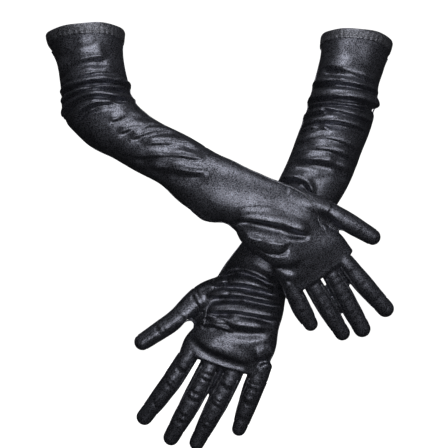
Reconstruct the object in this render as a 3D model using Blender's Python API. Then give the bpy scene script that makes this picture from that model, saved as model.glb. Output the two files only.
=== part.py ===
"""A pair of stretch-satin opera gloves, standing as worn: two elbow-length gloves that cross at the wrists.

The origin is the centre of the right glove's arm opening. +Z is up, and the back of each hand faces -Y.
Tables are in millimetres. The meshes and objects are in metres.
"""

import math

import bmesh
import bpy
import numpy as np

MM = 0.001

CLOTH = 0.8  # wall of every panel
SEAM_GAP = 0.3  # half of the gap between the panels on the two faces of a glove
END_GAP = 0.6  # gap between panels that follow each other along the arm
HEM_WIDTH = 12.0
HEM_EXTRA = 0.6  # how much prouder the turned hem stands than the panel below it

PLEATS = 4  # folds of cloth that an elbow or a wrist gathers
PLEAT_HEIGHT = 1.6

FLEX_CUT = 9.5  # how far a finger's palm panel is cut back, so that the finger can bend
EXTEND_CUT = 2.6  # the same for its back panel
KNUCKLE = 8.0  # from a finger's base line to its hinge
STRIP_ANGLE = 24.0  # half the width of a fourchette at a finger's base, in degrees around the finger
TIP_CROWDING = 1.7  # rows of points lie closer together toward a finger's rounded tip
STRIP_REACH = 0.86  # how far along a finger the fourchettes run

THUMB_SLANT = 14.5  # the thumb leaves the hand's edge at an angle
THUMB_CUT = 15.0
THUMB_KNUCKLE = 18.0  # from the start of its table to its hinge
THUMB_NOTCH = 42.0  # degrees that the hand panels draw back from the edge for the thumb's opening

SATIN_BLACK = (0.013, 0.013, 0.017, 1.0)
THREAD_BLACK = (0.008, 0.008, 0.010, 1.0)

# Each row of an arm or finger is a section of it: x, y, z of its centre, then half its width and half its depth.
RIGHT = {
    "name": "right",
    "thumb_side": 1,
    "elbow": (58.0, 114.0),
    "wrist": (262.0, 284.0),
    "thumb_opening": (304.0, 356.0),
    "arm": (
        (0, 0, 0, 43, 36),
        (5, -8, -28, 36, 33),
        (9, -14, -50, 36, 32),
        (15, -20, -76, 38, 32),
        (30, -25, -100, 37, 31),
        (51, -30, -113, 32, 29),
        (73, -35, -125, 30, 27),
        (100, -42, -140, 30, 25),
        (125, -48, -160, 34, 23),
        (152, -54, -175, 36, 21),
        (180, -58, -185, 33, 18),
        (207, -58, -203, 40, 17),
        (229, -53, -224, 41, 16),
        (254, -42, -259, 42, 11),
    ),
    "thumb": ((250, -56, -190, 11, 11), (283, -51, -205, 10, 10), (314, -44, -219, 8, 8)),
    "index": ((280, -41, -243, 10, 9.5), (304, -33, -271, 10, 9.5), (328, -24, -300, 8, 8)),
    "middle": ((264, -40, -258, 10, 9.5), (283, -30, -291, 9.5, 9), (300, -20, -322, 8, 8)),
    "ring": ((246, -40, -271, 10, 9), (261, -31, -300, 9, 8.5), (276, -22, -326, 7.5, 7.5)),
    "little": ((226, -41, -281, 9.5, 8.5), (233, -34, -301, 9, 8), (242, -28, -316, 7, 7)),
}

LEFT = {
    "name": "left",
    "thumb_side": -1,
    "elbow": (58.0, 112.0),
    "wrist": (287.0, 309.0),
    "thumb_opening": (318.0, 362.0),
    "arm": (
        (300, 67, 0, 40, 35),
        (294, 59, -24, 37, 33),
        (289, 54, -41, 36, 32),
        (284, 50, -64, 38, 32),
        (277, 47, -89, 38, 32),
        (265, 41, -118, 36, 31),
        (252, 33, -152, 35, 29),
        (234, 24, -187, 34, 27),
        (216, 16, -218, 34, 25),
        (197, 9, -247, 34, 22),
        (179, 5, -273, 35, 19),
        (168, 2, -300, 40, 18),
        (158, 3, -330, 47, 17),
        (149, 8, -359, 49, 12),
    ),
    "thumb": ((134, 2, -291, 12, 11), (98, -1, -312, 10, 10), (61, 1, -335, 8, 8)),
    "index": ((110, 9, -351, 11, 9.5), (88, 17, -384, 10, 9.5), (61, 27, -421, 8, 8)),
    "middle": ((135, 8, -361, 11, 9.5), (114, 17, -402, 10, 9), (92, 29, -443, 8, 8)),
    "ring": ((160, 8, -370, 11, 9), (141, 17, -410, 10, 8.5), (121, 29, -449, 7.5, 7.5)),
    "little": ((186, 7, -374, 10.5, 8.5), (178, 14, -400, 10, 8), (167, 24, -433, 7, 7)),
}

FINGERS = ("index", "middle", "ring", "little")


class Tube:
    """A smooth tube through a table of elliptical sections. Lengths run along its centre line from the first."""

    def __init__(self, rows, closed_tip=False):
        self.rows = np.array(rows, float)
        steps = np.linalg.norm(np.diff(self.rows[:, :3], axis=0), axis=1)
        self.lengths = np.concatenate([[0.0], np.cumsum(steps)])
        self.slopes = np.gradient(self.rows, self.lengths, axis=0)
        self.dome = self.rows[-1, 3] if closed_tip else 0.0
        self.length = self.lengths[-1] + self.dome

    def section(self, along):
        """The interpolated row at a length, by a cubic between its two neighbours, and the direction of the tube."""
        inside = min(max(along, 0.0), self.lengths[-1])
        i = min(int(np.searchsorted(self.lengths, inside, side="right")) - 1, len(self.lengths) - 2)
        span = self.lengths[i + 1] - self.lengths[i]
        t = (inside - self.lengths[i]) / span
        row = (
            (2 * t**3 - 3 * t**2 + 1) * self.rows[i]
            + (t**3 - 2 * t**2 + t) * span * self.slopes[i]
            + (3 * t**2 - 2 * t**3) * self.rows[i + 1]
            + (t**3 - t**2) * span * self.slopes[i + 1]
        )
        direction = (
            (6 * t**2 - 6 * t) * (self.rows[i] - self.rows[i + 1]) / span
            + (3 * t**2 - 4 * t + 1) * self.slopes[i]
            + (3 * t**2 - 2 * t) * self.slopes[i + 1]
        )[:3]
        direction /= np.linalg.norm(direction)
        row[:3] += direction * (along - inside)
        return row, direction

    def axes(self, along):
        """Across the tube and through it, both at right angles to its direction."""
        direction = self.section(along)[1]
        across = np.cross(direction, (0.0, 1.0, 0.0))
        across /= np.linalg.norm(across)
        return across, np.cross(across, direction)

    def point(self, along, angle, out=0.0):
        """A point on the surface, moved out by a distance. Angle 0 is across the tube and 90 degrees is its palm side."""
        row = self.section(along)[0]
        across, through = self.axes(along)
        shrink = 1.0
        if self.dome:
            reach = self.dome + out
            past = min(max(along - self.lengths[-1], 0.0) / reach, 1.0)
            shrink = math.sqrt(1.0 - past**2)
        width = (row[3] + out) * shrink
        depth = (row[4] + out) * shrink
        return row[:3] + across * width * math.cos(angle) + through * depth * math.sin(angle)


def make_material(name, colour, roughness):
    material = bpy.data.materials.new(name)
    material.use_nodes = True
    shader = material.node_tree.nodes["Principled BSDF"]
    shader.inputs["Base Color"].default_value = colour
    shader.inputs["Roughness"].default_value = roughness
    shader.inputs["Metallic"].default_value = 0.0
    material.diffuse_color = colour
    return material


def add_pivot(name, place, parent=None):
    """An empty on a joint's axis. Place is in millimetres in the world."""
    pivot = bpy.data.objects.new(name, None)
    pivot.empty_display_size = 0.01
    pivot["place"] = [float(value) for value in place]
    origin = np.array(parent["place"]) if parent else np.zeros(3)
    pivot.location = (np.array(place) - origin) * MM
    pivot.parent = parent
    bpy.context.scene.collection.objects.link(pivot)
    return pivot


def add_shell(name, outer, inner, pivot, colour, around=False):
    """One closed piece of cloth from two grids of points, its outer and inner face.

    The grids hold rows of points. With around, each row closes on itself, as in a ring.
    """
    rows, columns = outer.shape[:2]
    place = np.array(pivot["place"])
    mesh = bmesh.new()
    faces = []
    for grid in (outer, inner):
        faces.append([[mesh.verts.new((point - place) * MM) for point in row] for row in grid])
    top, under = faces
    last = columns if around else columns - 1
    for i in range(rows - 1):
        for j in range(last):
            k = (j + 1) % columns
            mesh.faces.new((top[i][j], top[i][k], top[i + 1][k], top[i + 1][j]))
            mesh.faces.new((under[i][j], under[i + 1][j], under[i + 1][k], under[i][k]))
    for i in (0, rows - 1):
        for j in range(last):
            k = (j + 1) % columns
            mesh.faces.new((top[i][j], under[i][j], under[i][k], top[i][k]))
    if not around:
        for j in (0, columns - 1):
            for i in range(rows - 1):
                mesh.faces.new((top[i][j], top[i + 1][j], under[i + 1][j], under[i][j]))
    bmesh.ops.remove_doubles(mesh, verts=mesh.verts, dist=1e-6)
    bmesh.ops.dissolve_degenerate(mesh, dist=1e-7, edges=mesh.edges)
    bmesh.ops.recalc_face_normals(mesh, faces=mesh.faces)
    for face in mesh.faces:
        face.smooth = True
    data = bpy.data.meshes.new(name)
    mesh.to_mesh(data)
    mesh.free()
    data.materials.append(make_material(name, colour, 0.42))
    shell = bpy.data.objects.new(name, data)
    shell.parent = pivot
    bpy.context.scene.collection.objects.link(shell)
    return shell


def add_panel(name, tube, start, end, edges, pivot, shift=0.0, size=(8, 6), colour=SATIN_BLACK):
    """A panel of a tube. Start and end give its ends at an angle, and edges its two angles at a length.

    Shift moves it through the tube, away from the panel on the other face.
    """
    rows, columns = size[1] + 1, size[0] + 1
    sides = []
    for out in (0.0, -CLOTH):
        grid = np.empty((rows, columns, 3))
        for i in range(rows):
            for j in range(columns):
                v, u = i / size[1], j / size[0]
                if tube.dome:
                    v = 1.0 - (1.0 - v) ** TIP_CROWDING
                middle = start(math.pi / 2) * (1 - v) + end(math.pi / 2) * v
                low, high = edges(middle)
                angle = low + (high - low) * u
                along = start(angle) * (1 - v) + (end(angle) + (out if tube.dome else 0.0)) * v
                grid[i, j] = tube.point(along, angle, out) + tube.axes(along)[1] * shift
        sides.append(grid)
    return add_shell(name, sides[0], sides[1], pivot, colour)


def add_ring(name, tube, start, end, out, pivot, size, pleats=0, colour=SATIN_BLACK):
    """A ring of cloth all round a tube, with pleats that follow each other along it."""
    rows, columns = size[1] + 1, size[0]
    sides = []
    for inset in (0.0, -CLOTH):
        grid = np.empty((rows, columns, 3))
        for i in range(rows):
            v = i / size[1]
            swell = PLEAT_HEIGHT * math.sin(math.pi * pleats * v) ** 2 if pleats else 0.0
            for j in range(columns):
                angle = 2 * math.pi * j / columns
                grid[i, j] = tube.point(start + (end - start) * v, angle, out + inset + swell)
        sides.append(grid)
    return add_shell(name, sides[0], sides[1], pivot, colour, around=True)


def always(value):
    return lambda _: value


def add_sleeve_panels(name, arm, start, end, pivot, notch=None, notch_side=1):
    """The back and the palm panel of one stretch of the arm. They draw back from one edge around a notch."""

    def drawn_back(along):
        if notch is None:
            return 0.0
        middle, half = (notch[0] + notch[1]) / 2, (notch[1] - notch[0]) / 2
        off = min(abs(along - middle) / half, 1.0)
        return math.radians(THUMB_NOTCH) * math.sqrt(1.0 - off**2)

    for side, face in ((-1, "back"), (1, "palm")):

        def edges(along, side=side):
            low, high = 0.0, math.pi
            if notch_side > 0:
                low = drawn_back(along)
            else:
                high -= drawn_back(along)
            return (low, high) if side > 0 else (-low, -high)

        rows = 12 if notch else 7
        shift = side * SEAM_GAP
        add_panel(f"{name}_{face}", arm, always(start), always(end), edges, pivot, shift, (10, rows))


def add_digit(name, rows, pivot, slant, flex_cut, extend_cut, strips):
    """A finger or a thumb: its back and palm panels, and the fourchettes between them on the sides named."""
    tube = Tube(rows, closed_tip=True)
    reach = tube.length * STRIP_REACH

    def start(angle):
        bend = math.sin(angle)
        cut = flex_cut * max(bend, 0.0) + extend_cut * max(-bend, 0.0)
        return cut + slant * (1.0 + math.cos(angle)) if slant > 0 else cut - slant * (1.0 - math.cos(angle))

    def strip(along, side):
        return math.radians(STRIP_ANGLE) * max(1.0 - along / reach, 0.0) if side in strips else 0.0

    for side, face in ((-1, "back"), (1, "palm")):

        def edges(along, side=side):
            low, high = strip(along, 1), math.pi - strip(along, -1)
            return (low, high) if side > 0 else (-low, -high)

        add_panel(f"{name}_{face}", tube, start, always(tube.length), edges, pivot, side * SEAM_GAP, (7, 9))
    for side in strips:

        def strip_edges(along, side=side):
            half = math.radians(STRIP_ANGLE) * max(1.0 - along / reach, 0.04)
            middle = 0.0 if side > 0 else math.pi
            return middle - half, middle + half

        label = "inner" if side == strips[-1] and len(strips) > 1 else "outer"
        node = f"{name}_fourchette_{label}" if len(strips) > 1 else f"{name}_fourchette"
        add_panel(node, tube, start, always(reach * 0.95), strip_edges, pivot, 0.0, (2, 6))


def add_glove(plan, parent):
    """One glove: sleeve, elbow, forearm, wrist, hand and five digits, each on the pivot of its joint."""
    name = plan["name"]
    arm = Tube(plan["arm"])
    elbow, wrist = plan["elbow"], plan["wrist"]
    thumb_side = plan["thumb_side"]
    hand_end = arm.length

    sleeve = add_pivot(f"{name}_sleeve_pivot", arm.section(0.0)[0][:3], parent)
    forearm = add_pivot(f"{name}_elbow_pivot", arm.section(sum(elbow) / 2)[0][:3], sleeve)
    hand = add_pivot(f"{name}_wrist_pivot", arm.section(sum(wrist) / 2)[0][:3], forearm)

    add_ring(f"{name}_hem", arm, 0.0, HEM_WIDTH, HEM_EXTRA, sleeve, (24, 3), colour=THREAD_BLACK)
    add_sleeve_panels(f"{name}_sleeve", arm, HEM_WIDTH + END_GAP, elbow[0] - END_GAP, sleeve)
    add_ring(f"{name}_elbow_fold", arm, elbow[0], elbow[1], 0.0, sleeve, (20, 16), PLEATS)
    add_sleeve_panels(f"{name}_forearm", arm, elbow[1] + END_GAP, wrist[0] - END_GAP, forearm)
    add_ring(f"{name}_wrist_fold", arm, wrist[0], wrist[1], 0.0, forearm, (20, 12), PLEATS - 1)
    opening = plan["thumb_opening"]
    add_sleeve_panels(f"{name}_hand", arm, wrist[1] + END_GAP, hand_end, hand, opening, thumb_side)

    thumb_tube = Tube(plan["thumb"])
    thumb = add_pivot(f"{name}_thumb_pivot", thumb_tube.section(THUMB_KNUCKLE)[0][:3], hand)
    add_digit(f"{name}_thumb", plan["thumb"], thumb, -THUMB_SLANT * thumb_side, THUMB_CUT, EXTEND_CUT, ())
    for finger in FINGERS:
        tube = Tube(plan[finger])
        knuckle = add_pivot(f"{name}_{finger}_pivot", tube.section(KNUCKLE)[0][:3], hand)
        toward_little = -thumb_side
        strips = {
            "index": (toward_little,),
            "middle": (toward_little, -toward_little),
            "ring": (toward_little, -toward_little),
            "little": (-toward_little,),
        }[finger]
        add_digit(f"{name}_{finger}", plan[finger], knuckle, 0.0, FLEX_CUT, EXTEND_CUT, strips)


for existing in list(bpy.data.objects):
    bpy.data.objects.remove(existing, do_unlink=True)

add_glove(RIGHT, None)
add_glove(LEFT, None)
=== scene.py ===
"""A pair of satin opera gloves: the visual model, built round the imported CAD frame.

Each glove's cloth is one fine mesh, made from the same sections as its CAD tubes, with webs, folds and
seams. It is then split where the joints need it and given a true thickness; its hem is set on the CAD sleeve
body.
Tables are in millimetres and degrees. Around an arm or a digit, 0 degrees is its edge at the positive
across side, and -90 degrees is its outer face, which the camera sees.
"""

import math

import bpy
import numpy as np
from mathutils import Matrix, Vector
from mathutils.bvhtree import BVHTree

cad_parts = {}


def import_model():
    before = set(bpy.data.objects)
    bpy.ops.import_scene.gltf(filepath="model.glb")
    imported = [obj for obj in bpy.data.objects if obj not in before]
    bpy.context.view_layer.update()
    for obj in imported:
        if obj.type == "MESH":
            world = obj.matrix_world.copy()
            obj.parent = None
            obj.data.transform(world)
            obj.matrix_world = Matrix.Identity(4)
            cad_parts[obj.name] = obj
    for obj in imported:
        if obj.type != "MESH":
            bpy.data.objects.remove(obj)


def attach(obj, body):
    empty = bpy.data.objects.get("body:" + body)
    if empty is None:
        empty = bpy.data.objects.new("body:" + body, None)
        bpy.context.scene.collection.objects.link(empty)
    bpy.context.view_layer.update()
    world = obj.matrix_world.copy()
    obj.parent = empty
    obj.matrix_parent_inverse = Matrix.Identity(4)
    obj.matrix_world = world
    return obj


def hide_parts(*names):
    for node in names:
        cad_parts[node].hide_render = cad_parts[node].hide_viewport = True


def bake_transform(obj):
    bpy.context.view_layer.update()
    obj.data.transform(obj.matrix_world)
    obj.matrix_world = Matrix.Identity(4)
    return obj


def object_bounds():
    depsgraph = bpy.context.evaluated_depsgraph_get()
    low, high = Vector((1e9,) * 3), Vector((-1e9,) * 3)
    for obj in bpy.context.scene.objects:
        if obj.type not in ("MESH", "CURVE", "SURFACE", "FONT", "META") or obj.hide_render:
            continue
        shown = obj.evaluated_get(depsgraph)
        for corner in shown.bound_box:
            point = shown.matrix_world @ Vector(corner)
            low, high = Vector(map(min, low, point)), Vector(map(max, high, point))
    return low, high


MM = 0.001

VOXEL = 1.1  # grid of the cloth mesh
CLOTH = 0.6  # thickness of the satin
WEB = 3.0  # how far past a digit's base line its own piece starts
DIGIT_REACH = 1.7  # cloth farther from a digit's centre line, in radii, isn't that digit's
BEND_LENGTH = 12.0  # stretch over which a digit's cloth bends

FINGER_ROOT = 15.0  # how far inside the palm a finger's tube begins
FINGER_FULLNESS = (0.0, 0.0, 0.0, 0.9, 0.6)  # added to a finger's sections past its base

FOLD_DEPTH = 1.6  # scales every fold
VALLEY_SHARE = 0.9  # depth of the valley under a fold, of the fold's height
TALLEST_FOLD = 5.5
SWELL_FADE = (1.12, 1.35)  # a swell fades out between these distances from the arm's centre, in radii
SMOOTH_START = (9.0, 24.0)  # the cloth is smooth at its opening, and fully folded past here

OPENING_TRIM = 0.9  # how far under the hem's edge the cloth starts
HEM_STITCH_LINE = 9.4
HEM_PUCKERS = 41

GROOVE_WIDTH = 1.7  # the dip that a seam pulls into the cloth
GROOVE_DEPTH = 0.9
STITCH_LENGTH = 2.3
STITCH_PITCH = 3.2
STITCH_RADIUS = 0.26
WELT = ((-0.9, -0.5), (-0.7, 0.6), (-0.25, 1.05), (0.25, 1.05), (0.7, 0.6), (0.9, -0.5))  # sideways, up
STRIP_ANGLE = 42.0  # half the width of the strip between two fingers, at its base
STRIP_REACH = 0.86  # how far along a finger that strip runs

FINGERS = ("index", "middle", "ring", "little")
DIGITS = ("thumb",) + FINGERS
FACES = ("back", "palm")

CAMERA_DISTANCE = 2.0  # metres in front of the origin
CAMERA_SHIFT = (0.0023, 0.0144)  # metres right of and above the middle of the pair
CAMERA_LENS = 147.2

FLOOR_RADIUS = 3600.0
FLOOR_CURVE = 900.0  # radius of the bend from the floor up into the backdrop
BACKDROP_TOP = 4500.0
FLOOR_DROP = 60.0  # gap between the lowest fingertip and the floor

# Each row is a section: x, y, z of its centre, half its width, half its depth. They follow the CAD's own.
# A fold is its width, its height, and the points (length along the arm, angle) that its crest follows.
# A swell is its length along the arm, its angle, how far it spreads in both, and how far it moves out.
RIGHT = {
    "name": "right",
    "thumb_side": 1,
    "elbow": (58.0, 114.0),
    "wrist": (262.0, 284.0),
    "split": 205.0,
    "arm": (
        (0, 0, 0, 43, 36),
        (5, -8, -28, 36, 33),
        (9, -14, -50, 36, 32),
        (15, -20, -76, 38, 32),
        (30, -25, -100, 37, 31),
        (51, -30, -113, 32, 29),
        (73, -35, -125, 30, 27),
        (100, -42, -140, 30, 25),
        (125, -48, -160, 34, 23),
        (152, -54, -175, 36, 21),
        (180, -58, -185, 33, 18),
        (207, -58, -203, 40, 17),
        (229, -53, -224, 41, 16),
        (254, -42, -259, 42, 11),
    ),
    "thumb_mound": (217, -57, -184, 20, 15),
    "thumb": ((249, -56, -188.8, 12.4, 11), (280, -51, -204, 10.8, 10), (309, -44, -220.3, 8.7, 8.5)),
    "index": ((277.5, -41, -244.5, 9.5, 9.5), (300.5, -33, -271.5, 9.6, 9.5), (325, -24, -298, 8, 8)),
    "middle": ((264.1, -40, -258, 9.8, 9.5), (282.8, -30, -290, 9.6, 9), (300, -20, -320, 8, 8)),
    "ring": ((245.8, -40, -271.1, 9.9, 9), (262.4, -31, -299, 9.2, 8.5), (278, -22, -324, 7.5, 7.5)),
    "little": ((226, -41, -281, 9.5, 8.5), (235, -34, -299, 9, 8), (244, -28, -314, 7, 7)),
    "folds": (
        # the sleeve's soft bands
        (6.0, 1.0, ((24, -150), (23, -110), (26, -70))),
        (6.5, 2.2, ((44, -172), (38, -104), (40, -50))),
        (4.5, 2.2, ((57, -168), (55, -108), (56, -40))),
        # the bend of the elbow
        (2.6, 4.2, ((62, -200), (63, -108), (64, -76), (67, -36), (74, 15))),
        (2.0, 2.6, ((71, -185), (70, -124), (71, -92), (76, -60), (87, -5))),
        (2.4, 3.2, ((82, -205), (78, -132), (76, -108), (81, -76), (92, -48), (104, -15))),
        (3.2, 2.2, ((94, -160), (87, -128), (85, -100), (89, -80), (97, -55))),
        # cloth drawn along the forearm
        (3.0, 0.9, ((112, -90), (124, -58), (142, -20))),
        (3.4, 0.9, ((126, -98), (142, -62), (162, -22))),
        (4.0, 1.5, ((140, -96), (158, -56), (180, -18))),
        (5.0, 1.6, ((154, -96), (178, -62), (202, -30))),
        (4.4, 1.5, ((146, -128), (182, -90), (218, -50))),
        (5.0, 1.4, ((168, -132), (200, -102), (234, -66))),
        (2.4, 1.4, ((222, -150), (240, -160), (262, -168))),
        # the wrist
        (4.4, 4.4, ((268, -142), (300, -106), (327, -85), (348, -68))),
        (12.0, 2.4, ((296, -165), (320, -138), (346, -112))),
        (6.0, 2.4, ((296, -190), (330, -160), (353, -130), (361, -104))),
    ),
    "swells": (
        (82, 180, 12, 40, 3.0),
        (90, 0, 12, 45, -2.5),
        (145, 0, 30, 45, -2.2),
        (117, 176, 23, 50, -6.0),
        (228, 180, 24, 42, -3.0),
        (264, 180, 10, 44, -7.5),
        (297, 176, 13, 42, 4.5),
        (353, 0, 12, 50, -6.0),
    ),
    "side_seam": ((205, 0), (260, -6), (300, -15), (330, -26), (356, -44)),
    "opening_tilt": 5.0,
    "digit_creases": 0.2,
}

LEFT = {
    "name": "left",
    "thumb_side": -1,
    "elbow": (58.0, 112.0),
    "wrist": (287.0, 309.0),
    "split": 215.0,
    "arm": (
        (300, 67, 0, 40, 35),
        (294, 59, -24, 37, 33),
        (289, 54, -41, 36, 32),
        (284, 50, -64, 38, 32),
        (277, 47, -89, 38, 32),
        (265, 41, -118, 36, 31),
        (252, 33, -152, 35, 29),
        (234, 24, -187, 34, 27),
        (216, 16, -218, 34, 25),
        (197, 9, -247, 34, 22),
        (179, 5, -273, 35, 19),
        (168, 2, -300, 40, 18),
        (158, 3, -330, 47, 17),
        (149, 8, -359, 49, 12),
    ),
    "thumb_mound": (154, 0, -281, 19.5, 15),
    "thumb": ((132.5, 2, -286, 16.8, 12.5), (98, -1, -311, 11, 10), (61.5, 1, -335.5, 9.2, 8.5)),
    "index": ((111.5, 9, -351, 10.8, 9.5), (90, 17, -384, 10, 9.5), (62.5, 27, -420, 8, 8)),
    "middle": ((135.8, 8, -361, 11.8, 9.5), (114.8, 17, -402, 10.6, 9), (92, 29, -443, 8, 8)),
    "ring": ((159.2, 8, -370, 11.8, 9), (140, 17, -410, 10.6, 8.5), (120.5, 29, -449, 7.5, 7.5)),
    "little": ((187.5, 7, -374, 11.5, 8.5), (178, 14, -400, 10, 8), (167, 24, -433, 7, 7)),
    "folds": (
        # the sleeve and the bend of the elbow
        (5.0, 1.8, ((46, -150), (46, -88), (50, -30))),
        (2.8, 3.6, ((64, -200), (60, -116), (59, -84), (58, 15))),
        (4.0, 5.0, ((90, -200), (78, -128), (72, -80), (70, -30), (69, 45))),
        (2.0, 2.2, ((99, -185), (88, -125), (81, -84), (79, -15))),
        (2.0, 2.0, ((98, -140), (91, -84), (89, -5))),
        (2.8, 2.2, ((112, -185), (102, -138), (97, -110))),
        (3.6, 2.6, ((122, -175), (114, -128), (104, -88), (99, -15))),
        (2.4, 1.4, ((130, -165), (121, -124), (118, -90))),
        # down the forearm
        (5.0, 2.0, ((144, -170), (132, -124), (124, -76), (124, -20))),
        (5.0, 2.4, ((156, -165), (143, -112), (137, -68), (137, 0))),
        (5.4, 2.2, ((168, -165), (155, -108), (150, -68), (150, -20))),
        (2.8, 3.0, ((192, -165), (184, -124), (184, -100), (194, -78))),
        # the wrist
        (2.8, 2.4, ((316, -165), (302, -125), (296, -92), (293, -50))),
        (3.6, 4.0, ((328, -160), (315, -120), (308, -84), (302, -40))),
        (3.0, 3.8, ((341, -165), (328, -120), (322, -84), (315, -10))),
        (3.8, 4.0, ((352, -150), (342, -110), (337, -80), (331, -5))),
        (5.0, 2.2, ((360, -140), (354, -100), (350, -70), (346, -30))),
        # over the knuckles
        (5.0, 2.0, ((374, -150), (383, -112), (385, -82), (388, -52))),
        (4.0, 1.6, ((381, -52), (374, -32), (369, -12))),
        # drawn from the thumb across the back of the hand
        (2.2, 1.6, ((357, -144), (352, -115), (353, -84))),
        (2.2, 1.6, ((365, -142), (360, -114), (362, -90))),
    ),
    "swells": (
        (95, 180, 60, 45, -3.2),
        (140, 0, 38, 50, 3.8),
        (297, 0, 17, 45, 3.5),
        (326, 0, 28, 50, 8.0),
        (366, 0, 16, 50, 3.0),
        (368, 180, 12, 50, -5.5),
    ),
    "side_seam": ((215, 180), (285, 184), (312, 196), (340, 210), (366, 224)),
    "opening_tilt": -5.5,
    "digit_creases": 0.5,
}


def interpolate(rows, lengths, slopes, along):
    """Rows of a table at some lengths, by a cubic between two neighbours, and their slopes."""
    i = np.clip(np.searchsorted(lengths, along, side="right") - 1, 0, len(lengths) - 2)
    span = (lengths[i + 1] - lengths[i])[:, None]
    t = (along - lengths[i])[:, None] / span
    values = (
        (2 * t**3 - 3 * t**2 + 1) * rows[i]
        + (t**3 - 2 * t**2 + t) * span * slopes[i]
        + (3 * t**2 - 2 * t**3) * rows[i + 1]
        + (t**3 - t**2) * span * slopes[i + 1]
    )
    changes = (
        (6 * t**2 - 6 * t) * (rows[i] - rows[i + 1]) / span
        + (3 * t**2 - 4 * t + 1) * slopes[i]
        + (3 * t**2 - 2 * t) * slopes[i + 1]
    )
    return values, changes


def unit(vectors):
    """Vectors scaled to length 1."""
    return vectors / np.maximum(np.linalg.norm(vectors, axis=-1, keepdims=True), 1e-12)


def smoothstep(value, low, high):
    """0 up to low, 1 from high, and a smooth rise between them."""
    t = np.clip((value - low) / (high - low), 0.0, 1.0)
    return t * t * (3.0 - 2.0 * t)


class Tube:
    """A smooth tube through a table of elliptical sections. Lengths run along its centre line."""

    def __init__(self, rows):
        self.rows = np.array(rows, float)
        steps = np.linalg.norm(np.diff(self.rows[:, :3], axis=0), axis=1)
        self.lengths = np.concatenate([[0.0], np.cumsum(steps)])
        self.slopes = np.gradient(self.rows, self.lengths, axis=0)
        self.length = self.lengths[-1]

    def frames(self, along):
        """Centres, half sizes and the three directions (along, across, through) at some lengths."""
        along = np.atleast_1d(np.asarray(along, float))
        inside = np.clip(along, 0.0, self.length)
        rows, changes = interpolate(self.rows, self.lengths, self.slopes, inside)
        forward = unit(changes[:, :3])
        centres = rows[:, :3] + forward * (along - inside)[:, None]
        across = unit(np.cross(forward, (0.0, 1.0, 0.0)))
        return centres, rows[:, 3:5], forward, across, np.cross(across, forward)

    def points(self, along, angle, out=0.0):
        """Points on the tube at some lengths and angles (degrees), moved out by a distance."""
        centres, sizes, _, across, through = self.frames(along)
        turn = np.radians(np.asarray(angle, float))[..., None]
        width, depth = sizes[:, :1] + out, sizes[:, 1:] + out
        return centres + across * width * np.cos(turn) + through * depth * np.sin(turn)

    def locate(self, points):
        """Length along the tube, angle in degrees, and distance from its centre line in radii, of points."""
        samples = np.arange(0.0, self.length + 0.5, 1.0)
        centres, sizes, forward, across, through = self.frames(samples)
        nearest = np.empty(len(points), int)
        for start in range(0, len(points), 20000):
            part = points[start : start + 20000]
            apart = (centres**2).sum(1)[None] - 2.0 * part @ centres.T
            nearest[start : start + 20000] = apart.argmin(1)
        away = points - centres[nearest]
        along = samples[nearest] + (away * forward[nearest]).sum(1)
        sideways = (away * across[nearest]).sum(1) / sizes[nearest, 0]
        deep = (away * through[nearest]).sum(1) / sizes[nearest, 1]
        return along, np.degrees(np.arctan2(deep, sideways)), np.hypot(sideways, deep)


def ring_faces(rings, around, closed=False):
    """Quads between rings of points in a row. If closed, the last ring is joined to the first."""
    faces = []
    for i in range(rings if closed else rings - 1):
        n = (i + 1) % rings
        for j in range(around):
            k = (j + 1) % around
            faces.append((i * around + j, i * around + k, n * around + k, n * around + j))
    return faces


def end_faces(rings, around):
    """The two faces that close the first and the last ring."""
    last = (rings - 1) * around
    return [tuple(reversed(range(around))), tuple(last + j for j in range(around))]


def merge(solids):
    """The points and faces of several solids as one."""
    points, faces, count = [], [], 0
    for solid_points, solid_faces in solids:
        points.append(solid_points)
        faces += [tuple(count + v for v in face) for face in solid_faces]
        count += len(solid_points)
    return np.concatenate(points), faces


def closed_tube(tube, first, last, first_cap, last_cap, around=56, step=2.0):
    """Points and faces of a solid tube with rounded ends, whose caps reach out by their lengths."""
    turns = np.linspace(0.0, 0.5 * math.pi, 7)[1:]
    middle = np.linspace(first, last, max(int((last - first) / step), 2))
    along = np.concatenate([first - first_cap * np.sin(turns)[::-1], middle, last + last_cap * np.sin(turns)])
    shrink = np.concatenate([np.cos(turns)[::-1], np.ones(len(middle)), np.cos(turns)])
    shrink = np.maximum(shrink, 0.01)
    centres, sizes, _, across, through = tube.frames(along)
    angles = 2.0 * math.pi * np.arange(around) / around
    rings = (
        centres[:, None]
        + across[:, None] * (sizes[:, :1] * shrink[:, None] * np.cos(angles))[..., None]
        + through[:, None] * (sizes[:, 1:] * shrink[:, None] * np.sin(angles))[..., None]
    )
    # the rings turn the other way from those of a strip, so the corners of each face are taken in reverse
    count = len(along)
    faces = [(a, d, c, b) for a, b, c, d in ring_faces(count, around)]
    faces += [tuple(reversed(face)) for face in end_faces(count, around)]
    return rings.reshape(-1, 3), faces


def new_mesh_object(name, points, faces):
    """An object from points in millimetres."""
    mesh = bpy.data.meshes.new(name)
    mesh.from_pydata((np.asarray(points) * MM).tolist(), [], [tuple(map(int, f)) for f in faces])
    mesh.update()
    made = bpy.data.objects.new(name, mesh)
    bpy.context.scene.collection.objects.link(made)
    return made


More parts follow.
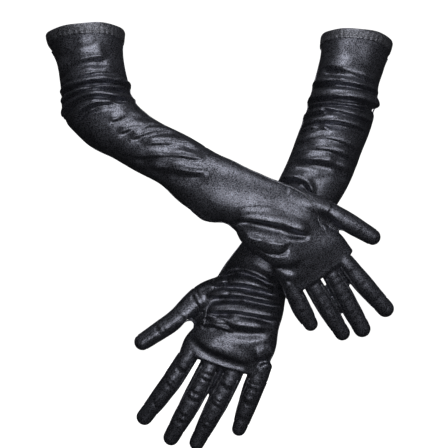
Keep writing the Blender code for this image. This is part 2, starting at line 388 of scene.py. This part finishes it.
def remesh_together(solids):
    """One even quad mesh round all the solids, as arrays of points (mm) and faces."""
    rough = new_mesh_object("rough", *merge(solids))
    remesh = rough.modifiers.new("remesh", "REMESH")
    remesh.mode = "VOXEL"
    remesh.voxel_size = VOXEL * MM
    graph = bpy.context.evaluated_depsgraph_get()
    even = bpy.data.meshes.new_from_object(rough.evaluated_get(graph))
    found = np.empty(len(even.vertices) * 3, np.float32)
    even.vertices.foreach_get("co", found)
    corners = np.empty(len(even.loops), np.int32)
    even.loops.foreach_get("vertex_index", corners)
    bpy.data.objects.remove(rough)
    bpy.data.meshes.remove(even)
    return found.reshape(-1, 3).astype(float) / MM, corners.reshape(-1, 4)


def edges_of(faces):
    """Each edge of some quads once, as a pair of points."""
    pairs = np.concatenate([faces[:, [i, (i + 1) % 4]] for i in range(4)])
    return np.unique(np.sort(pairs, axis=1), axis=0)


def relax(points, faces, rounds):
    """Evens out a mesh without shrinking it, by smoothing forward and back in turn."""
    edges = edges_of(faces)
    ends = np.concatenate([edges, edges[:, ::-1]])
    count = np.maximum(np.bincount(ends[:, 0], minlength=len(points)), 1)[:, None]
    for turn in range(2 * rounds):
        total = np.zeros_like(points)
        for axis in range(3):
            across = points[ends[:, 1], axis]
            total[:, axis] = np.bincount(ends[:, 0], weights=across, minlength=len(points))
        points = points + (total / count - points) * (0.6 if turn % 2 == 0 else -0.62)
    return points


def normals_of(points, faces):
    """The outward direction at each point of a mesh of quads."""
    corner = points[faces]
    face_normals = np.cross(corner[:, 2] - corner[:, 0], corner[:, 3] - corner[:, 1])
    total = np.zeros_like(points)
    for i in range(4):
        for axis in range(3):
            total[:, axis] += np.bincount(faces[:, i], weights=face_normals[:, axis], minlength=len(points))
    return unit(total)


def fold_line(tube, stops, spacing=1.0):
    """Points along a smooth line through (length, angle) stops on a tube."""
    stops = np.array(stops, float)
    knots = np.linspace(0.0, 1.0, len(stops))
    fits = [np.polyfit(knots, stops[:, axis], min(len(stops) - 1, 3)) for axis in range(2)]
    rough = np.linspace(0.0, 1.0, 60)
    line = tube.points(np.polyval(fits[0], rough), np.polyval(fits[1], rough))
    length = np.linalg.norm(np.diff(line, axis=0), axis=1).sum()
    even = np.linspace(0.0, 1.0, max(int(length / spacing), 8))
    along, angle = np.polyval(fits[0], even), np.polyval(fits[1], even)
    line = tube.points(along, angle)
    outward = unit(line - tube.frames(along)[0])
    return line, outward


def fold_shape(points, tube, width, stops, wobble):
    """The points near one fold, and how strongly each is on its crest and in the valley under it.

    The crest is sharp on its lower side, as where cloth laps over itself.
    """
    line, outward = fold_line(tube, stops)
    tangent = unit(np.gradient(line, axis=0))
    sideways = unit(np.cross(outward, tangent))
    sideways *= np.where(sideways[:, 2] > 0.0, -1.0, 1.0)[:, None]
    reach = 5.0 * width
    near = np.flatnonzero(((points > line.min(0) - reach) & (points < line.max(0) + reach)).all(1))
    if not len(near):
        return near, np.zeros(0), np.zeros(0)
    local = points[near]
    apart = ((local[:, None] - line[None]) ** 2).sum(2)
    j = apart.argmin(1)
    away = local - line[j]
    across = (away * sideways[j]).sum(1)
    beyond = (away * tangent[j]).sum(1)
    deep = (away * outward[j]).sum(1)
    place = (j + beyond) / (len(line) - 1)
    spread = 1.2 * width * (0.6 + 0.4 * np.sin(math.pi * np.clip(place, 0.0, 1.0)))
    crest = np.exp(-((across / (spread * np.where(across > 0.0, 0.65, 1.6))) ** 2))
    valley = np.exp(-(((across - 1.55 * spread) / (1.05 * spread)) ** 2))
    ends = smoothstep(place, -0.02, 0.2) * (1.0 - smoothstep(place, 0.8, 1.02))
    uneven = 1.0 + 0.22 * np.sin(9.0 * place + wobble) + 0.1 * np.sin(21.0 * place + 2.0 * wobble)
    here = np.exp(-((np.maximum(np.abs(deep) - 3.0, 0.0) / 2.0) ** 2))
    here *= ends * uneven
    return near, crest * here, valley * here


def line_nearness(points, line, reach):
    """The points near a line, and how near each is: 1 on the line, falling to 0 past a reach."""
    near = np.flatnonzero(((points > line.min(0) - 3 * reach) & (points < line.max(0) + 3 * reach)).all(1))
    if not len(near):
        return near, np.zeros(0)
    apart = ((points[near][:, None] - line[None]) ** 2).sum(2).min(1)
    return near, np.exp(-apart / reach**2)


def soft_noise(points, size, seed):
    """Smooth noise between about -1 and 1 with features of a size, in millimetres."""
    random = np.random.default_rng(seed)
    total = np.zeros(len(points))
    for _ in range(10):
        wave = random.normal(size=3)
        wave *= 2.0 * math.pi / size * random.uniform(0.6, 1.4) / np.linalg.norm(wave)
        total += np.sin(points @ wave + random.uniform(0.0, 6.3))
    return total / 4.0


def hidden_folds(plan, length):
    """Folds for the palm side and the edges: rounds of each bend, and cloth drawn along between them."""
    random = np.random.default_rng(7 if plan["name"] == "right" else 11)
    elbow, wrist = np.mean(plan["elbow"]), np.mean(plan["wrist"])
    made = []
    for middle, spread, count, tall in ((elbow, 30.0, 11, 1.8), (wrist, 26.0, 10, 1.4)):
        for i in range(count):
            along = middle + spread * (2.0 * (i + random.uniform(0.2, 0.8)) / count - 1.0)
            first, last = random.uniform(5, 35), random.uniform(145, 175)
            bow, tilt = random.uniform(-5, 5), random.uniform(-7, 7)
            stops = ((along - tilt, first), (along + bow, (first + last) / 2), (along + tilt, last))
            made.append((random.uniform(1.8, 3.2), tall * random.uniform(0.7, 1.2), stops))
    for i in range(9):
        along = elbow + 40.0 + (wrist - elbow - 80.0) * (i + random.uniform(0.1, 0.9)) / 9
        first = random.uniform(20, 100)
        drift = random.uniform(14, 30)
        stops = ((along - drift, first), (along, first + 35), (along + drift, first + 60))
        made.append((random.uniform(2.5, 4.0), random.uniform(0.7, 1.2), stops))
    for i in range(6):
        along = wrist + 30.0 + (length - wrist - 45.0) * (i + random.uniform(0.2, 0.8)) / 6
        first = random.uniform(20, 70)
        stops = ((along - 4, first), (along, first + 40), (along + 5, first + 80))
        made.append((random.uniform(2.0, 3.2), random.uniform(0.6, 1.0), stops))
    return made


def digit_folds(tube, base, seed, height):
    """Short creases round a digit: a few at each of its joints, on the outer face and on the palm side."""
    random = np.random.default_rng(seed)
    made = []
    for share, count in ((0.36, 2), (0.68, 2), (0.1, 2)):
        for face in (-90.0, 90.0):
            for i in range(count):
                along = base + (tube.length - base) * share + 5.5 * (i - (count - 1) / 2)
                along += random.uniform(-1.2, 1.2)
                half = random.uniform(38, 75)
                middle = face + random.uniform(-25, 25)
                tilt = random.uniform(-2.5, 2.5)
                bow = random.uniform(-1, 1)
                stops = ((along - tilt, middle - half), (along + bow, middle), (along + tilt, middle + half))
                made.append((random.uniform(1.8, 3.0), height * random.uniform(0.4, 1.0), stops))
    return made


class Glove:
    """The cloth of one glove as a single mesh, and where its parts lie."""

    def __init__(self, plan):
        self.plan = plan
        self.name = plan["name"]
        self.arm = Tube(plan["arm"])
        self.digits, self.base = {}, {}
        for digit in DIGITS:
            rows = [np.array(row, float) for row in plan[digit]]
            if digit == "thumb":
                inner = np.array(plan["thumb_mound"], float)
            else:
                inner = rows[0] - np.append(unit(rows[1][:3] - rows[0][:3]) * FINGER_ROOT, (1.0, 1.0))
                rows[1:] = [row + FINGER_FULLNESS for row in rows[1:]]
            self.digits[digit] = Tube([inner] + rows)
            self.base[digit] = self.digits[digit].lengths[1]
        self.seams = self.plan_seams()
        self.make_cloth()

    def plan_seams(self):
        """The seams of each piece: the tube each lies on, the stops it passes, and its stitches' shift."""
        arm, plan, split = self.arm, self.plan, self.plan["split"]
        other_side = 180 if plan["thumb_side"] > 0 else 0
        seams = {
            "upper": [
                (arm, ((12.5, side), (110, side), (split, side)), shift)
                for side, shift in ((0, 1.5), (180, -1.5))
            ],
            "lower": [
                (arm, plan["side_seam"], 1.5),
                (arm, ((split, other_side), (290, other_side), (arm.length + 2, other_side)), -1.5),
            ],
        }
        tube, first = self.digits["thumb"], self.base["thumb"] + WEB + 6.0
        middle = (first + tube.length) / 2
        seams["thumb"] = [
            (tube, ((first, side), (middle, side + bend), (tube.length, side + 2 * bend)), 0.0)
            for side, bend in ((0, 2), (180, -2))
        ]
        for digit in FINGERS:
            tube, first = self.digits[digit], self.base[digit] + WEB
            last = first + (tube.length - first) * STRIP_REACH
            toward_little = -plan["thumb_side"]
            strips = {"index": (toward_little,), "little": (-toward_little,)}.get(digit, (1, -1))
            seams[digit] = []
            for side in (1, -1):
                edge = 0.0 if side > 0 else 180.0
                for half in (-STRIP_ANGLE, STRIP_ANGLE) if side in strips else (0.0,):
                    stops = ((first, edge + half), ((first + last) / 2, edge + half * 0.6), (last, edge))
                    seams[digit].append((tube, stops, 1.4))
        return seams

    def make_cloth(self):
        """Runs arm and digits together into one mesh, opens it at the hem, and folds it."""
        solids = [closed_tube(self.arm, -6.0, self.arm.length, 0.1, 4.0, around=96)]
        for digit, tube in self.digits.items():
            tip = tube.rows[-1, 3]
            solids.append(closed_tube(tube, 0.0, tube.length, 6.0, tip))
        points, faces = remesh_together(solids)
        points = relax(points, faces, 6)
        along, angle, radii = self.arm.locate(points)
        centres, _, forward, _, _ = self.arm.frames(0.0)
        past_opening = (points - centres[0]) @ forward[0]
        past_opening -= self.plan["opening_tilt"] * np.cos(np.radians(angle))
        faces = faces[(past_opening[faces] > OPENING_TRIM).all(1)]
        self.normals = normals_of(points, faces)
        move = self.folds(points, along, angle, radii)
        self.points = points + self.normals * move[:, None]
        self.faces = faces
        self.normals = normals_of(self.points, faces)
        self.along = along
        self.tree = BVHTree.FromPolygons(self.points.tolist(), faces.tolist())

    def folds(self, points, along, angle, radii):
        """How far each point of the plain cloth moves out."""
        move = np.zeros(len(points))
        rows = [(self.arm, *fold) for fold in self.plan["folds"]]
        rows += [(self.arm, *fold) for fold in hidden_folds(self.plan, self.arm.length)]
        for number, (digit, tube) in enumerate(self.digits.items()):
            creases = digit_folds(tube, self.base[digit], 40 + number, self.plan["digit_creases"])
            rows += [(tube, *fold) for fold in creases]
        on_crest, crests, valleys = np.zeros((3, len(points)))
        for number, (tube, width, height, stops) in enumerate(rows):
            near, crest, valley = fold_shape(points, tube, width, stops, 1.7 * number)
            on_crest[near] = np.maximum(on_crest[near], crest)
            crests[near] = np.maximum(crests[near], height * crest)
            valleys[near] = np.maximum(valleys[near], height * valley)
        move += FOLD_DEPTH * (crests - VALLEY_SHARE * valleys * (1.0 - np.minimum(on_crest, 1.0)))
        move += 0.3 * soft_noise(points, 26.0, 3) + 0.06 * soft_noise(points, 9.0, 4)
        move = TALLEST_FOLD * np.tanh(move / TALLEST_FOLD)
        for tube, stops, _ in (line for lines in self.seams.values() for line in lines):
            near, groove = line_nearness(points, fold_line(tube, stops)[0], GROOVE_WIDTH)
            move[near] -= GROOVE_DEPTH * groove
        on_arm = 1.0 - smoothstep(along, self.arm.length - 2.0, self.arm.length + 14.0)
        on_arm *= 1.0 - smoothstep(radii, *SWELL_FADE)
        for middle, towards, reach, spread, height in self.plan["swells"]:
            turn = (angle - towards + 180.0) % 360.0 - 180.0
            move += on_arm * height * np.exp(-(((along - middle) / reach) ** 2) - (turn / spread) ** 2)
        return move * smoothstep(along, *SMOOTH_START)

    def owners(self):
        """The name of the piece that each face belongs to: upper, lower, or a digit's."""
        centres = self.points[self.faces].mean(1)
        along, _, radii = self.arm.locate(centres)
        radii = np.where(along > self.arm.length + 1.0, np.inf, radii)
        owner = np.where(along < self.plan["split"], 0, 1)
        best = np.full(len(centres), DIGIT_REACH)
        for number, (digit, tube) in enumerate(self.digits.items()):
            place, _, apart = tube.locate(centres)
            own = (place > self.base[digit] + WEB) & (apart < best) & (apart < radii)
            owner[own] = 2 + number
            best[own] = apart[own]
        return owner

    def on_surface(self, points):
        """The nearest points of the cloth to some points, smoothed along their line, and its normals."""
        found = [self.tree.find_nearest(Vector(point)) for point in points]
        places = np.array([hit[0] for hit in found])
        normals = np.array([hit[1] for hit in found])
        for _ in range(3):
            for line in (places, normals):
                line[1:-1] = (line[:-2] + 2.0 * line[1:-1] + line[2:]) / 4.0
        return places, unit(normals)


def shell_object(name, points, normals, faces):
    """A sheet of cloth of true thickness: its outer face, its inner face and the edge between them."""
    used, small = np.unique(faces, return_inverse=True)
    small = small.reshape(-1, 4)
    outer, outward = points[used], normals[used]
    count = len(used)
    pairs = np.concatenate([small[:, [i, (i + 1) % 4]] for i in range(4)])
    keys = np.sort(pairs, axis=1)
    _, first, times = np.unique(keys, axis=0, return_index=True, return_counts=True)
    rim = pairs[first[times == 1]]
    edge = np.stack([rim[:, 1], rim[:, 0], rim[:, 0] + count, rim[:, 1] + count], axis=1)
    everything = np.concatenate([small, small[:, ::-1] + count, edge])
    made = new_mesh_object(name, np.concatenate([outer, outer - outward * CLOTH]), everything)
    made.data.shade_smooth()
    made.data.normals_split_custom_set_from_vertices(np.concatenate([outward, -outward]).tolist())
    return made


def sweep(places, normals, section):
    """A solid strip that follows a line on the cloth. Section lists (sideways, up) points of its outline."""
    tangent = unit(np.gradient(places, axis=0))
    side = unit(np.cross(normals, tangent))
    points = np.stack([places + side * s + normals * u for s, u in section], axis=1)
    count, around = points.shape[:2]
    return points.reshape(-1, 3), ring_faces(count, around) + end_faces(count, around)


def stitches(places, normals, shift):
    """A row of short raised threads beside or along a line."""
    steps = np.linalg.norm(np.diff(places, axis=0), axis=1)
    lengths = np.concatenate([[0.0], np.cumsum(steps)])
    tangent = unit(np.gradient(places, axis=0))
    side = unit(np.cross(normals, tangent))
    made = []
    ring = [(math.cos(a), math.sin(a)) for a in np.radians(np.arange(0, 360, 60))]
    # share of the stitch's length, share of its radius, and height above the cloth
    rounds = ((0.0, 0.45, -0.05), (0.2, 1.0, 0.22), (0.8, 1.0, 0.22), (1.0, 0.45, -0.05))
    faces = ring_faces(len(rounds), len(ring)) + end_faces(len(rounds), len(ring))
    for start in np.arange(1.0, lengths[-1] - STITCH_LENGTH, STITCH_PITCH):
        points = []
        for share, size, up in rounds:
            here = start + STITCH_LENGTH * share
            centre, across, out = (
                np.array([np.interp(here, lengths, row[:, axis]) for axis in range(3)])
                for row in (places, side, normals)
            )
            centre = centre + across * shift + out * up
            points += [centre + (across * c + out * s) * STITCH_RADIUS * size for c, s in ring]
        made.append((np.array(points), faces))
    return made


def joined(name, solids):
    """One object from several solids."""
    made = new_mesh_object(name, *merge(solids))
    made.data.shade_smooth()
    return made


def seam(glove, tube, stops, with_stitches=0.0):
    """A welt that follows stops on a tube, laid on the finished cloth, with a row of stitches beside it."""
    places, normals = glove.on_surface(fold_line(tube, stops)[0])
    solids = [sweep(places, normals, WELT)]
    if with_stitches:
        solids += stitches(places, normals, with_stitches)
    return solids


def hem_object(glove):
    """The turned hem: a doubled band over the edge of the cloth, with puckers where it is stitched."""
    # length from the opening, and distance out from the arm
    outline = (
        (12.0, -0.1), (11.9, 0.55), (11.0, 0.85), (9.4, 0.62), (7.0, 0.95),
        (3.0, 1.0), (0.8, 0.95), (0.0, 0.55), (-0.3, -0.2), (0.0, -0.95),
        (0.8, -1.35), (4.0, -1.45), (11.0, -1.45), (11.9, -1.2), (12.0, -0.7),
    )
    around = 240
    angles = np.arange(around) * 360.0 / around
    rings = []
    for along, out in outline:
        pucker = 0.22 * np.sin(np.radians(angles) * HEM_PUCKERS) * smoothstep(along, 1.0, 9.0)
        sway = 0.5 * np.sin(np.radians(angles) * 3.0 + 1.0) + 0.3 * np.sin(np.radians(angles) * 7.0)
        tilt = glove.plan["opening_tilt"] * np.cos(np.radians(angles))
        lengths = along + tilt + sway * (1.0 if along < 6 else 0.4)
        rings.append(glove.arm.points(lengths, angles, out + pucker[:, None]))
    faces = ring_faces(len(outline), around, closed=True)
    made = new_mesh_object(f"{glove.name}_hem_band", np.concatenate(rings), faces)
    made.data.shade_smooth()
    return made


def hem_thread(glove):
    """The line of stitches round the hem."""
    angles = np.linspace(0.0, 360.0, 260)
    tilt = glove.plan["opening_tilt"] * np.cos(np.radians(angles))
    places = glove.arm.points(HEM_STITCH_LINE + tilt, angles, 0.72)
    normals = unit(places - glove.arm.frames(HEM_STITCH_LINE)[0][0])
    return joined(f"{glove.name}_hem_thread", stitches(places, normals, 0.0))


# ---- materials


def add_node(tree, kind, inputs=None, **settings):
    """A shader node with its settings. An input is a value, or an output of another node to link."""
    node = tree.nodes.new(kind)
    for name, value in settings.items():
        setattr(node, name, value)
    for name, value in (inputs or {}).items():
        if isinstance(value, bpy.types.NodeSocket):
            tree.links.new(value, node.inputs[name])
        else:
            node.inputs[name].default_value = value
    return node


def noise(tree, place, scale, detail=2.0, roughness=0.5):
    """Noise with features of about 1 / scale metres."""
    node = add_node(tree, "ShaderNodeTexNoise", {"Vector": place, "Scale": scale, "Detail": detail})
    node.inputs["Roughness"].default_value = roughness
    return node.outputs["Fac"]


def ramp(tree, value, low, high):
    """Value mapped from 0..1 to low..high."""
    node = add_node(tree, "ShaderNodeMapRange", {"Value": value, "From Min": 0.3, "From Max": 0.7})
    node.inputs["To Min"].default_value = low
    node.inputs["To Max"].default_value = high
    return node.outputs["Result"]


def satin(name, dark, light, rough, grain):
    """Stretch satin: near black, with a broad sheen, fine grain and a faint cross weave."""
    material = bpy.data.materials.new(name)
    material.use_nodes = True
    tree = material.node_tree
    shader = tree.nodes["Principled BSDF"]
    place = add_node(tree, "ShaderNodeTexCoord").outputs["Object"]

    sparkle = noise(tree, place, 900.0, 2.0, 0.6)
    cloud = ramp(tree, noise(tree, place, 60.0, 2.0), 0.95, 1.05)
    mixed = add_node(tree, "ShaderNodeMath", {0: sparkle, 1: cloud}, operation="MULTIPLY").outputs[0]
    colours = add_node(tree, "ShaderNodeValToRGB", {"Fac": mixed})
    colours.color_ramp.elements[0].position = 0.36
    colours.color_ramp.elements[0].color = (*dark, 1.0)
    colours.color_ramp.elements[1].position = 0.68
    colours.color_ramp.elements[1].color = (*light, 1.0)
    tree.links.new(colours.outputs["Color"], shader.inputs["Base Color"])

    tree.links.new(ramp(tree, sparkle, rough - 0.07, rough + 0.09), shader.inputs["Roughness"])
    shader.inputs["Metallic"].default_value = 0.85
    shader.inputs["Specular IOR Level"].default_value = 0.5

    threads = add_node(tree, "ShaderNodeTexWave", {"Vector": place, "Scale": 420.0, "Distortion": 1.5})
    threads.bands_direction = "DIAGONAL"
    threads.inputs["Detail"].default_value = 1.0
    weave = {"Height": threads.outputs["Fac"], "Strength": 0.12, "Distance": 0.00025}
    fine = add_node(tree, "ShaderNodeBump", weave)
    coarse = add_node(tree, "ShaderNodeBump", {"Height": sparkle, "Strength": grain, "Distance": 0.0002})
    tree.links.new(fine.outputs["Normal"], coarse.inputs["Normal"])
    tree.links.new(coarse.outputs["Normal"], shader.inputs["Normal"])
    return material


def pale(name, glow):
    """The floor's plain pale finish, which partly lights itself."""
    material = bpy.data.materials.new(name)
    material.use_nodes = True
    shader = material.node_tree.nodes["Principled BSDF"]
    shader.inputs["Base Color"].default_value = (0.85, 0.85, 0.85, 1.0)
    shader.inputs["Roughness"].default_value = 0.9
    shader.inputs["Emission Color"].default_value = (1.0, 1.0, 1.0, 1.0)
    shader.inputs["Emission Strength"].default_value = glow
    return material


# ---- the scene


def girth(tube, first, last):
    """The mean distance round a tube between two lengths, by Ramanujan's formula for an ellipse."""
    width, depth = tube.frames(np.linspace(first, last, 12))[1].T
    around = math.pi * (3 * (width + depth) - np.sqrt((3 * width + depth) * (width + 3 * depth)))
    return float(np.mean(around))


def bends(glove, owner):
    """For each piece: its owner number, the bodies before and past its joint, and where it bends.

    A digit bends past all the points that it shares with other pieces, so those stay with the hand.
    """
    elbow, wrist = glove.plan["elbow"], glove.plan["wrist"]
    spans = {
        "upper": (0, "sleeve", "forearm", glove.arm.frames([elbow[0] + 2.0, elbow[1] - 2.0])[0]),
        "lower": (1, "forearm", "hand", glove.arm.frames([wrist[0] - 8.0, wrist[1] + 8.0])[0]),
    }
    for number, (digit, tube) in enumerate(glove.digits.items()):
        faces = glove.faces[owner == 2 + number]
        others = np.unique(glove.faces[owner != 2 + number])
        shared = np.intersect1d(np.unique(faces), others)
        start = tube.frames(glove.base[digit] + WEB)[0][0]
        forward = tube.frames(glove.base[digit] + WEB + BEND_LENGTH)[0][0] - start
        past = max(float(((glove.points[shared] - start) @ unit(forward)).max()), 0.0)
        start = start + unit(forward) * (past + 0.3)
        spans[digit] = (2 + number, "hand", digit, np.array([start, start + unit(forward) * BEND_LENGTH]))
    return spans


def flat_size(glove, part):
    """How wide and how long a piece of cloth is in the flat, in metres."""
    split = glove.plan["split"]
    if part == "upper":
        return girth(glove.arm, 0.0, split) * MM, split * MM
    if part == "lower":
        return girth(glove.arm, split, glove.arm.length) * MM, (glove.arm.length - split) * MM
    tube, first = glove.digits[part], glove.base[part] + WEB
    return girth(tube, first, tube.length) * MM, (tube.length - first + tube.rows[-1, 3]) * MM


def dress(glove, materials):
    """Splits a glove's cloth into pieces, adds the seams, and puts the hem on its sleeve body."""
    name = glove.name
    owner = glove.owners()
    for part, (number, near_body, far_body, (start, end)) in bends(glove, owner).items():
        faces = glove.faces[owner == number]
        cloth = shell_object(f"{name}_{part}_cloth", glove.points, glove.normals, faces)
        strips = [solid for line in glove.seams[part] for solid in seam(glove, *line)]
        thread = joined(f"{name}_{part}_seams", strips)
        for piece, finish in ((cloth, "satin"), (thread, "hem")):
            piece.data.materials.append(materials[finish])
            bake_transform(piece)
        stands_for(name, part)
        if part == "upper":
            hem, hem_stitches = hem_object(glove), hem_thread(glove)
            for piece in (hem, hem_stitches):
                piece.data.materials.append(materials["hem"])
                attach(piece, f"{name}_sleeve")
            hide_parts(f"{name}_hem")
        flat = flat_size(glove, part)


def stands_for(name, part):
    """Hides the CAD nodes that a piece of cloth and its seams show in their place."""
    if part == "upper":
        nodes = [f"{name}_sleeve_{face}" for face in FACES] + [f"{name}_elbow_fold"]
    elif part == "lower":
        nodes = [f"{name}_{where}_{face}" for where in ("forearm", "hand") for face in FACES]
        nodes.append(f"{name}_wrist_fold")
    else:
        nodes = [f"{name}_{part}_{face}" for face in FACES]
    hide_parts(*nodes)
    if part in ("index", "little"):
        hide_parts(f"{name}_{part}_fourchette")
    elif part in ("middle", "ring"):
        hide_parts(f"{name}_{part}_fourchette_inner", f"{name}_{part}_fourchette_outer")


def add_area_light(name, place, target, size, power):
    """A flat light that faces the target. Places and sizes are in metres, power in watts."""
    data = bpy.data.lights.new(name, "AREA")
    data.shape = "RECTANGLE"
    data.size, data.size_y = size
    data.energy = power
    light = bpy.data.objects.new(name, data)
    light.location = place
    light.rotation_mode = "QUATERNION"
    light.rotation_quaternion = (Vector(target) - Vector(place)).to_track_quat("-Z", "Y")
    light.visible_camera = False
    bpy.context.scene.collection.objects.link(light)


def add_camera(low, high):
    """The camera looks level along +Y at the middle of the pair."""
    data = bpy.data.cameras.new("camera")
    data.lens = CAMERA_LENS
    camera = bpy.data.objects.new("camera", data)
    middle = (low + high) / 2.0
    camera.location = (middle.x + CAMERA_SHIFT[0], -CAMERA_DISTANCE, middle.z + CAMERA_SHIFT[1])
    camera.rotation_euler = (math.radians(90.0), 0.0, 0.0)
    data.clip_end = 30.0
    bpy.context.scene.collection.objects.link(camera)
    bpy.context.scene.camera = camera


def add_lights(middle):
    """Wide soft lights on the camera's side and above, and a weak one behind."""
    key_place = (middle.x + 0.25, -2.2, middle.z + 0.1)
    add_area_light("key", key_place, middle, size=(1.2, 0.3), power=11.5)
    add_area_light("low", (0.1, -2.2, -0.6), middle, size=(0.8, 0.3), power=7.0)
    add_area_light("side", (1.1, -1.7, 0.3), middle, size=(0.8, 0.4), power=4.5)
    add_area_light("top", (0.1, -0.75, 1.2), middle, size=(1.0, 0.6), power=9.0)
    add_area_light("behind", (0.15, 2.2, -0.2), middle, size=(0.6, 0.4), power=2.5)
    world = bpy.data.worlds.new("world")
    world.use_nodes = True
    world.node_tree.nodes["Background"].inputs["Color"].default_value = (1.0, 1.0, 1.0, 1.0)
    world.node_tree.nodes["Background"].inputs["Strength"].default_value = 0.015
    bpy.context.scene.world = world


def add_floor(low):
    """A pale round floor that curves up into a backdrop on every side."""
    profile = [(10.0, 0.0), (FLOOR_RADIUS, 0.0)]
    for a in np.radians(np.arange(6, 91, 6)):
        profile.append((FLOOR_RADIUS + FLOOR_CURVE * math.sin(a), FLOOR_CURVE * (1.0 - math.cos(a))))
    profile.append((FLOOR_RADIUS + FLOOR_CURVE, BACKDROP_TOP))
    around = 48
    turns = 2.0 * math.pi * np.arange(around) / around
    points = [(r * math.cos(t), r * math.sin(t), z) for r, z in profile for t in turns]
    faces = ring_faces(len(profile), around) + [tuple(range(around))]
    floor = new_mesh_object("floor", points, faces)
    floor.location.z = low.z - FLOOR_DROP * MM
    floor.data.shade_smooth()
    floor.data.materials.append(pale("floor", 1.1))
    floor.visible_glossy = False
    floor.visible_diffuse = False


def main():
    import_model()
    cad_low, cad_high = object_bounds()
    materials = {
        "satin": satin("satin", (0.015, 0.015, 0.02), (0.30, 0.31, 0.37), 0.37, 0.5),
        "hem": satin("hem", (0.02, 0.02, 0.026), (0.42, 0.43, 0.49), 0.45, 0.4),
    }
    for plan in (RIGHT, LEFT):
        dress(Glove(plan), materials)

    add_camera(cad_low, cad_high)
    add_floor(cad_low)
    add_lights((cad_low + cad_high) / 2.0)
    bpy.context.scene.view_settings.view_transform = "Standard"


main()
